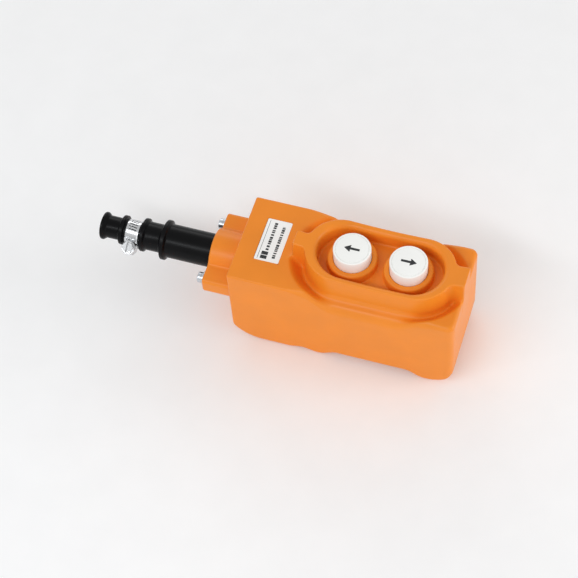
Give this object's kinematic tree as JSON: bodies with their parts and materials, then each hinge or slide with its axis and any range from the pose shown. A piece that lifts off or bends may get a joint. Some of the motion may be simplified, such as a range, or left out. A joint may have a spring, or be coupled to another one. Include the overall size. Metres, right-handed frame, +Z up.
{
  "type": "pendant control station",
  "caption": "Hand-held push-button pendant for a hoist: one-piece moulded housing, guarded buttons, end cap and rubber cable sleeve with a worm-drive clamp.",
  "frame": {"origin": "on the resting surface, under the middle of the object's bounding box", "axes": "+X along the housing from the cable end to the far end, +Y across it, +Z up out of the button face, with the object lying on its back"},
  "size_m": [0.249, 0.0644, 0.0865],
  "materials": {
    "housing_orange": "satin moulded",
    "button_white": "gloss",
    "legend_black": "matt ink",
    "sleeve_rubber": "semi-gloss",
    "seal_rubber": "matt",
    "clamp_steel": "bright",
    "zinc_steel": "zinc plated",
    "contact_brass": "plain",
    "label_white": "satin film",
    "block_black": "moulded"
  },
  "bodies": {
    "housing": {"body_shell": "housing_orange", "end_cap": "housing_orange", "cap_gasket": "seal_rubber", "cap_screws": "zinc_steel", "cap_washers": "zinc_steel", "cap_inserts": "contact_brass", "cable_sleeve": "sleeve_rubber", "sleeve_retainer": "zinc_steel", "retainer_screws": "zinc_steel", "clamp_band": "clamp_steel", "clamp_housing": "clamp_steel", "label_plate": "label_white", "label_print": "legend_black", "contact_chassis": "zinc_steel", "chassis_screws": "zinc_steel", "cord_clamp_bar": "block_black", "cord_clamp_screws": "zinc_steel", "earth_screw": "contact_brass", "up_return_spring": "zinc_steel", "up_contact_block": "block_black", "up_fixed_contacts": "contact_brass", "up_terminal_screws": "zinc_steel", "up_seal": "seal_rubber", "down_return_spring": "zinc_steel", "down_contact_block": "block_black", "down_fixed_contacts": "contact_brass", "down_terminal_screws": "zinc_steel", "down_seal": "seal_rubber"},
    "up_button": {"up_button_cap": "button_white", "up_button_arrow": "legend_black", "up_plunger": "block_black", "up_bridge": "contact_brass", "up_bridge_clip": "zinc_steel"},
    "down_button": {"down_button_cap": "button_white", "down_button_arrow": "legend_black", "down_plunger": "block_black", "down_bridge": "contact_brass", "down_bridge_clip": "zinc_steel"},
    "clamp_screw": {"clamp_screw": "clamp_steel"}
  },
  "joints": [
    {"name": "up_button_press", "type": "slide", "parent": "housing", "child": "up_button", "axis": [0, 0, -1], "range_m": [0, 0.004], "stiffness_N_per_m": 1500, "springref_m": -0.002, "deforming": ["up_return_spring"]},
    {"name": "down_button_press", "type": "slide", "parent": "housing", "child": "down_button", "axis": [0, 0, -1], "range_m": [0, 0.004], "stiffness_N_per_m": 1500, "springref_m": -0.002, "deforming": ["down_return_spring"]},
    {"name": "clamp_screw_turn", "type": "hinge", "parent": "housing", "child": "clamp_screw", "pos_m": [-0.10215, -0.0102, 0.0403], "axis": [0, -0.454, 0.891], "continuous": true}
  ]
}
